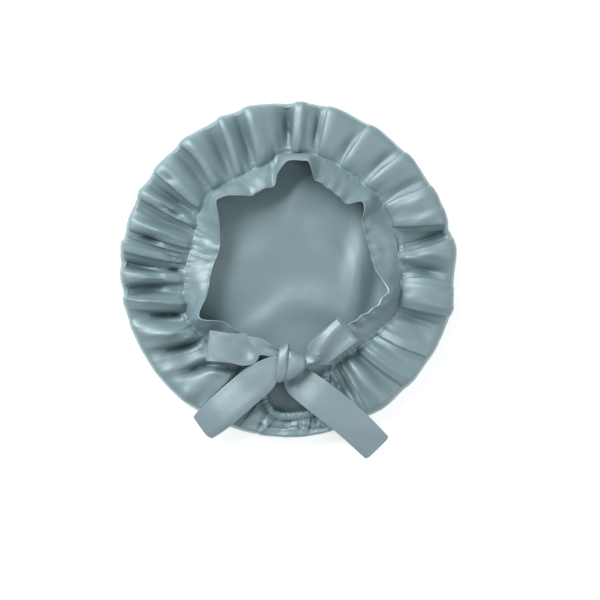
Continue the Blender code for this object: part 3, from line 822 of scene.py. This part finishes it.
def make_crown(material):
    folds = all_folds()
    columns = fold_columns(folds)
    rows = FLOOR_RINGS + RING_ROWS
    bm = lathe([(row * PROFILE_STEP, 0.0) for row in range(rows + 1)], len(columns))
    layer = bm.loops.layers.uv.new("cloth")
    # Share of painted shade at each vertex, for the ring's deep valleys
    crease = bm.verts.layers.float.new("crease")
    spots = {}
    for vertex in bm.verts:
        row = round(hypot(vertex.co.x, vertex.co.y) / PROFILE_STEP)
        spots[vertex] = (round(bearing_of(vertex.co) / 360 * len(columns)) % len(columns), row)
    last = len(SECTIONS) - 1
    for vertex, (column, row) in spots.items():
        if row < FLOOR_RINGS:
            bearing = fold_place(folds, columns[column], 0.0, 0.0)[0]
            vertex.co = floor_point(bearing, row / FLOOR_RINGS)
        else:
            value = (row - FLOOR_RINGS) / RING_ROWS * last
            vertex.co, vertex[crease] = crown_point(folds, columns[column], value)
    half = len(columns) // 2
    for face in bm.faces:
        first = spots[face.loops[0].vert][0]
        for loop in face.loops:
            column, row = spots[loop.vert]
            step = (column - first + half) % len(columns) - half
            around = ((first + half) % len(columns) + step) / len(columns)
            loop[layer].uv = (around * 2 * pi * RIM_RADIUS, row * ROW_LENGTH)
    bmesh.ops.remove_doubles(bm, verts=bm.verts, dist=MERGE)
    bmesh.ops.recalc_face_normals(bm, faces=bm.faces)
    crown = finish_piece("crown_cloth", bm, material)
    give_wall(crown, SATIN_WALL)
    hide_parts("crown")
    return crown


def fold_over(past, deep):
    """A crease across the band, some degrees past its line: it sinks up to the line and rises past it."""
    lead, step, trail = 9, 0.9, 8
    if past < 0:
        return deep * eased(1 + past / lead)
    if past < step:
        return deep * (1 - 1.5 * eased(past / step))
    return -0.5 * deep * (1 - eased((past - step) / trail))


def band_point(bearing, share, depth):
    """The head band at a share of its width from the seam, depth metres behind its outer face."""
    edge, seam = mouth_edge(bearing)
    lean = round_table(BAND_LEANS, bearing, "lean")
    radius, height = edge - SEAM_TUCK, seam - SEAM_SINK
    steps = 10
    slope = radians(lean)
    for n in range(steps):
        part = min(max(share * steps - n, 0.0), 1.0)
        slope = radians(lean + BAND_CURL * ((n + 0.5) / steps - 0.5))
        radius -= part * BAND_WIDTH / steps * sin(slope)
        height += part * BAND_WIDTH / steps * cos(slope)
    pucker = crest(share, 0.0, 0.26) * BAND_PUCKER * ripple(bearing * 0.36, share * 0.8, 9.0)
    soft = BAND_WAVE * ripple(bearing * 0.075, share * 1.2, 2.0) * min(1.0, share * 2)
    soft += fold_over(bearing - FRONT_FOLD - FOLD_SLANT * (1 - share), FRONT_FOLD_DEPTH) * eased(share * 3)
    waves = EDGE_WAVE + EDGE_WAVE_RIGHT * eased((bearing - 372) / 12)
    turn = 2 * pi * bearing / EDGE_WAVE_STEP + 3 * ripple(bearing * 0.03, 5.0, 1.0)
    soft += waves * sin(turn) * share**3
    soft += fold_over(LEFT_FOLD - bearing - FOLD_SLANT * share, LEFT_FOLD_DEPTH) * eased(share * 3)
    hems = FREE_HEM * crest(share, 0.965, 0.026) + SEAM_HEM * crest(share, 0.03, 0.035)
    depth += pucker + soft - (hems if depth <= 0 else 0.0)
    return plan(bearing, radius - depth * cos(slope), height - depth * sin(slope))


def make_band(material):
    columns, face, fold = 620, 14, 4
    around = 2 * (face + fold)

    def place(column, row):
        bearing = mix(BAND_FIRST, BAND_LAST, column / columns)
        if row <= face:
            puff = 0.0003 * sin(pi * row / face)
            return band_point(bearing, row / face * 0.985, -puff)
        if row < face + fold:
            angle = pi * (row - face) / fold
            share = 0.985 + 0.022 * sin(angle)
            return band_point(bearing, share, BAND_THICKNESS * (1 - cos(angle)) / 2)
        if row <= 2 * face + fold:
            return band_point(bearing, (2 * face + fold - row) / face * 0.985, BAND_THICKNESS)
        angle = pi * (row - 2 * face - fold) / fold
        return band_point(bearing, -0.01 * sin(angle), BAND_THICKNESS * (1 + cos(angle)) / 2)

    bm = moved_tube(columns, around, place)
    close_ends(bm)
    band = finish_piece("head_band_cloth", bm, material)
    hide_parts("head_band")
    return band


def make_casing(material):
    columns, around = 420, 14

    def edge_at(bearing):
        return plan(bearing, *mouth_edge(bearing))

    def place(column, turn):
        bearing = mix(CASING_FIRST, CASING_LAST, column / columns)
        here = edge_at(bearing)
        ahead = edge_at(bearing + 0.4) - edge_at(bearing - 0.4)
        inward = Vector((0, 0, 1)).cross(ahead).normalized()
        if inward.dot(here) > 0:
            inward.negate()
        travel = bearing * 1.15
        gather = ripple(travel * 1.1, 0.0, 4.4, octaves=3)
        angle = 2 * pi * turn / around
        half = CASING_HALF_WIDTH * (1 + 0.16 * ripple(travel * 0.8, 2.0, 1.0))
        depth = CASING_HALF_DEPTH + CASING_GATHER * gather
        middle = here + inward * (half * 0.85) - Vector((0, 0, 0.0004))
        wave = CASING_WAVE * ripple(travel * 1.3, 6.0, 2.0)
        return middle + inward * (half * cos(angle) + wave) + Vector((0, 0, depth * sin(angle)))

    bm = moved_tube(columns, around, place)
    close_ends(bm)
    casing = finish_piece("nape_casing_cloth", bm, material, 80)
    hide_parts("nape_casing")
    return casing


# Paths of the bow's ribbons, from the knot outwards. x, y: on plan, shares of the ribbon's length; level:
# height against the knot's middle; width: share of the ribbon's own width; twist: degrees that it tilts about
# its path.
LEFT_LOOP = table(
    "x y level width twist",
    (0.00, 0.00, -0.0005, 0.42, 0.0),
    (-0.17, 0.066, -0.0005, 0.46, 0.0),
    (-0.33, 0.110, -0.0003, 0.62, 0.0),
    (-0.50, 0.075, 0.0003, 1.12, 0.0),
    (-0.75, 0.095, 0.0015, 1.02, 0.0),
    (-1.02, 0.124, 0.0018, 1.06, 0.0),
)
RIGHT_LOOP = table(
    "x y level width twist",
    (0.000, 0.000, 0.0005, 0.34, 0.0),
    (0.150, 0.068, 0.0008, 0.46, 6.0),
    (0.295, 0.184, 0.0021, 0.88, 12.0),
    (0.543, 0.377, 0.0039, 0.98, 8.0),
    (0.815, 0.600, 0.0042, 1.04, 0.0),
)
LEFT_TAIL = table(
    "x y level width twist",
    (0.000, 0.000, 0.0034, 0.66, 0.0),
    (-0.094, -0.030, 0.0034, 0.78, 0.0),
    (-0.203, -0.114, 0.0034, 1.04, 4.0),
    (-0.351, -0.237, -0.0012, 1.10, 2.0),
    (-0.618, -0.472, -0.0035, 1.08, 0.0),
    (-0.795, -0.626, -0.0140, 0.94, -6.0),
)
RIGHT_TAIL = table(
    "x y level width twist",
    (0.000, 0.000, -0.0102, 0.62, 0.0),
    (0.070, -0.061, -0.0092, 1.00, 0.0),
    (0.259, -0.201, -0.0025, 1.10, 0.0),
    (0.512, -0.403, -0.0042, 1.09, 0.0),
    (0.768, -0.652, -0.0165, 1.04, 5.0),
)


def ribbon_frame(root, rows, length, value):
    """(point, forward, side, up, width) of a ribbon at a value that counts its table's rows from 0."""
    def spot(at):
        x, y, level = [smooth_rows(rows, at, key) for key in ("x", "y", "level")]
        return root + Vector((x * length, y * length, level))

    last = len(rows) - 1
    point = spot(value)
    forward = (spot(min(value + 0.05, last)) - spot(max(value - 0.05, 0.0))).normalized()
    side = Vector((0, 0, 1)).cross(forward).normalized()
    up = forward.cross(side).normalized()
    twist = radians(smooth_rows(rows, value, "twist"))
    side, up = side * cos(twist) + up * sin(twist), up * cos(twist) - side * sin(twist)
    return point, forward, side, up, smooth_rows(rows, value, "width")


def ribbon_surface(frame_at, half_width, thickness, across, count, wrinkle):
    """A doubled ribbon as a closed flat tube: frame_at(column) gives its frame, wrinkle(u, v) its lift."""
    around = 2 * across

    def place(column, row):
        point, forward, side, up, width = frame_at(column)
        turn = 2 * pi * row / around
        sideways = cos(turn)
        spread = bulged(sideways, 0.55)
        body = bulged(sin(turn), 0.35) * thickness / 2
        return point + side * (spread * half_width * width) + up * (body + wrinkle(column / count, spread))

    return moved_tube(count, around, place)


def end_shrink(share):
    """Narrows a ribbon's last stretch, which rounds its corners."""
    near = min(min(share, 1 - share) / CORNER_SHARE, 1.0)
    return 1.0 - CORNER_CUT * (1 - (1 - (1 - near) ** 2) ** 0.5)


def make_tail(node, root, rows, length, wrinkle, material):
    count = 160
    last = len(rows) - 1

    def frame_at(column):
        point, forward, side, up, width = ribbon_frame(root, rows, length, last * column / count)
        return point, forward, side, up, width * end_shrink(column / count)

    bm = ribbon_surface(frame_at, TAIL_WIDTH / 2, RIBBON_THICKNESS, 22, count, wrinkle)
    close_ends(bm)
    tail = finish_piece(node + "_ribbon", bm, material)
    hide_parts(node)
    return tail


def make_loop(node, root, rows, length, wrinkle, fullness, material):
    """The ribbon goes out along its path, turns at its far end and comes back underneath."""
    count, bend = 110, 14
    last = len(rows) - 1

    def puff(share):
        return mix(LOOP_ROOT_GAP, fullness, eased(1.6 * share - 0.3))

    tip, forward, side, up, wide = ribbon_frame(root, rows, length, last)

    def frame_at(column):
        back = 2 * count + bend - column
        if column <= count or back <= count:
            top = column <= count
            share = (column if top else back) / count
            point, ahead, aside, over, width = ribbon_frame(root, rows, length, last * share)
            open_by = puff(share) / 2
            over_sign = 1 if top else -1
            return point + over * (open_by * over_sign), ahead * over_sign, aside, over * over_sign, width
        angle = pi * (column - count) / bend
        open_by = puff(1.0) / 2
        over = up * cos(angle) + forward * sin(angle)
        return tip + over * open_by, forward, side, over, wide

    def lift(u, v):
        top = u * (2 * count + bend) <= count
        share = u * (2 * count + bend) / count
        return wrinkle(min(share, 1.0), v) if top else 0.0

    bm = ribbon_surface(frame_at, LOOP_WIDTH / 2, RIBBON_THICKNESS, 20, 2 * count + bend, lift)
    close_ends(bm)
    loop = finish_piece(node + "_ribbon", bm, material)
    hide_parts(node)
    return loop


def left_tail_lift(u, v):
    """Full in its middle, with the edge on the nape's side curled under."""
    waves = 0.0012 * ripple(u * 2.2, v * 0.5, 1.0) - 0.0008 * crest(u, 0.42, 0.10)
    tilt = 0.0026 * v * eased((u - 0.30) / 0.4)
    return waves + tilt - 0.0075 * max(v - 0.45, 0) ** 2


def right_tail_lift(u, v):
    """Creased where it leaves the knot, then flat, with its outer corner turned down."""
    folded = crest(u, 0.12, 0.12) * (0.0030 * crest(v, 0.45, 0.35) - 0.0024 * crest(v, -0.35, 0.30))
    flat = 0.0012 * ripple(u * 2.4, v * 0.5, 2.0) + 0.0004 * (1 - v * v)
    return folded + flat + 0.0016 * crest(u, 0.32, 0.12) * v


def left_loop_lift(u, v):
    """Gathers that fan out of the knot, a dimple half way and a full, bright end."""
    gathers = crest(u, 0.0, 0.40) * 0.0030 * ripple(u * 1.5, v * 3.2, 3.0)
    dimple = -0.0036 * crest(u, 0.62, 0.12) * crest(v, 0.10, 0.55)
    shoulder = 0.0024 * crest(u, 0.46, 0.09) * crest(v, 0.0, 0.6) + 0.0022 * crest(u, 0.86, 0.14)
    return gathers + dimple + shoulder + 0.0008 * ripple(u * 3, v, 7.0)


def right_loop_lift(u, v):
    """A crest that winds from the knot's side of the loop to its far edge."""
    winding = -0.35 + 0.9 * eased(1.5 * u - 0.35)
    gathers = crest(u, 0.0, 0.35) * 0.0018 * ripple(u * 1.5, v * 3.0, 5.0)
    return gathers + 0.0040 * crest(v, winding, 0.38) - 0.0016 * crest(v, winding - 0.8, 0.4)


def make_bow(material):
    left, right = KNOT + Vector((-0.009, 0, 0)), KNOT + Vector((0.009, 0, 0))
    under_left, under_right = left + Vector((0, -0.0023, 0)), KNOT + Vector((-0.0012, -0.0101, 0))
    over_left = left + Vector((0, 0.0081, 0))
    make_tail("tail_left", under_left, LEFT_TAIL, LEFT_TAIL_LENGTH, left_tail_lift, material)
    make_tail("tail_right", under_right, RIGHT_TAIL, RIGHT_TAIL_LENGTH, right_tail_lift, material)
    make_loop("loop_left", over_left, LEFT_LOOP, LEFT_LOOP_LENGTH, left_loop_lift, LEFT_LOOP_GAP, material)
    make_loop("loop_right", right, RIGHT_LOOP, RIGHT_LOOP_LENGTH, right_loop_lift, RIGHT_LOOP_GAP, material)


# The knot's wraps, from its left mouth to its right. x: from the knot's middle; front, back: its edges
# towards the front and the nape; deep: share of its depth.
KNOT_STATIONS = table(
    "x front back deep",
    (-0.0128, 0.0128, -0.0162, 0.82),
    (-0.0120, 0.0142, -0.0168, 0.98),
    (-0.0092, 0.0158, -0.0172, 1.10),
    (-0.0058, 0.0180, -0.0160, 1.12),
    (-0.0042, 0.0188, -0.0146, 1.02),
    (-0.0032, 0.0140, -0.0146, 0.84),
    (-0.0012, 0.0130, -0.0146, 0.96),
    (0.0050, 0.0092, -0.0114, 1.02),
    (0.0100, 0.0066, -0.0078, 0.95),
    (0.0124, 0.0050, -0.0056, 0.76),
)


def make_knot(material):
    stations, around = 72, 48

    def place(column, turn):
        value = (len(KNOT_STATIONS) - 1) * column / stations
        keys = ("x", "front", "back", "deep")
        x, front, back, deep = [smooth_rows(KNOT_STATIONS, value, key) for key in keys]
        angle = 2 * pi * turn / around
        across, over = cos(angle), sin(angle)
        half, middle = (front - back) / 2, (front + back) / 2
        y = middle + half * bulged(across, 0.9)
        z = deep * KNOT_DEPTH / 2 * bulged(over, 0.8)
        skew = 0.0016 * across * (1 if value < 5 else 0.2)
        crinkle = KNOT_CRINKLE * ripple(x * 110, y * 90, 8.0)
        return KNOT + Vector((x + skew, y, z + crinkle * (1 if over > 0 else -1)))

    bm = moved_tube(stations, around, place)
    bmesh.ops.recalc_face_normals(bm, faces=bm.faces)
    knot = finish_piece("bow_knot_ribbon", bm, material)
    give_wall(knot, KNOT_WALL)
    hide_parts("bow_knot")
    return knot


def make_tie(node, bearing, turn, root, pinch, material):
    """The ribbon that runs on from an end of the head band into the knot, narrowed there to its pinch."""
    count = 60
    low, high = band_point(bearing, 0.0, 0.0), band_point(bearing, 1.0, 0.0)
    inside = (band_point(bearing + turn, 0.5, 0.0) - band_point(bearing, 0.5, 0.0)).normalized()
    start = (low + high) / 2 + inside * 0.002 - Vector((0, 0, 0.0012))
    first = (high - low).normalized()
    last = Vector((0, 1, 0)) if first.y > 0 else Vector((0, -1, 0))

    def frame_at(column):
        share = column / count
        side = first.lerp(last, eased(share)).normalized()
        forward = (root - start).normalized()
        side = (side - forward * side.dot(forward)).normalized()
        up = forward.cross(side)
        up = up if up.z > 0 else -up
        return start.lerp(root, share), forward, side, up, mix(1.0, pinch, eased(share))

    def lift(u, v):
        return 0.0011 * ripple(u * 1.6, v * 2.6, bearing) * u

    bm = ribbon_surface(frame_at, BAND_WIDTH / 2, RIBBON_THICKNESS, 18, count, lift)
    close_ends(bm)
    tie = finish_piece(node + "_ribbon", bm, material)
    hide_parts(node)
    return tie


def make_stage():
    bm = bmesh.new()
    bmesh.ops.create_grid(bm, x_segments=2, y_segments=2, size=3.0)
    mesh = bpy.data.meshes.new("floor")
    bm.to_mesh(mesh)
    bm.free()
    mesh.materials.append(plain("floor_pale", (0.95, 0.95, 0.95), 0.9, GROUND_GLOW))
    ground = bpy.data.objects.new("floor", mesh)
    bpy.context.scene.collection.objects.link(ground)
    ground.location.z = -0.0002


def area_light(name, place, side, energy):
    """A square white light that looks at the frame's origin."""
    light = bpy.data.lights.new(name, "AREA")
    light.shape = "RECTANGLE"
    light.size, light.size_y = side, side
    light.energy = energy
    lamp = bpy.data.objects.new(name, light)
    lamp.location = place
    lamp.rotation_euler = (-Vector(place)).to_track_quat("-Z", "Y").to_euler()
    bpy.context.scene.collection.objects.link(lamp)


def make_camera():
    camera = bpy.data.cameras.new("photo_view")
    holder = bpy.data.objects.new("photo_view", camera)
    middle = PHOTO_SIDE / 2
    x, y = (middle - CROWN_PIXEL[0]) * PIXEL, (CROWN_PIXEL[1] - middle) * PIXEL
    holder.location = (x, y, CAMERA_RISE)
    camera.sensor_width = 36
    camera.lens = camera.sensor_width * (CAMERA_RISE - CROWN_HEIGHT) / (PHOTO_SIDE * PIXEL)
    camera.clip_end = 20
    bpy.context.scene.collection.objects.link(holder)
    bpy.context.scene.camera = holder


def make_lights():
    area_light("key", place=(-1.05, 1.10, 1.45), side=1.3, energy=KEY_POWER)
    area_light("fill", place=(1.2, -0.6, 1.4), side=1.4, energy=FILL_POWER)
    world = bpy.data.worlds.new("studio")
    bpy.context.scene.world = world
    world.use_nodes = True
    sky = world.node_tree.nodes["Background"]
    sky.inputs["Color"].default_value = (1, 1, 1, 1)
    sky.inputs["Strength"].default_value = SKY_STRENGTH
    bpy.context.scene.view_settings.view_transform = "Standard"


def main():
    make_camera()
    make_lights()
    make_stage()
    cloth = satin("dusty_teal_satin", SATIN, SATIN_DEEP, drawn_from=0.092, drawn_depth=0.26)
    ribbon = satin("dusty_teal_ribbon", RIBBON, RIBBON_DEEP, drawn_from=0.0, drawn_depth=0.05)
    sewn = satin("dusty_teal_band", BAND, BAND_DEEP, drawn_from=0.0, drawn_depth=0.30, sewn=True)
    make_crown(cloth)
    make_band(sewn)
    make_casing(cloth)
    make_tie("tie_left", 204.0, 1.0, KNOT + Vector((-0.009, 0, -0.0045)), 0.50, ribbon)
    make_tie("tie_right", 514.0, -1.0, KNOT + Vector((0.009, 0, -0.0045)), 0.20, ribbon)
    make_bow(ribbon)
    make_knot(ribbon)


main()
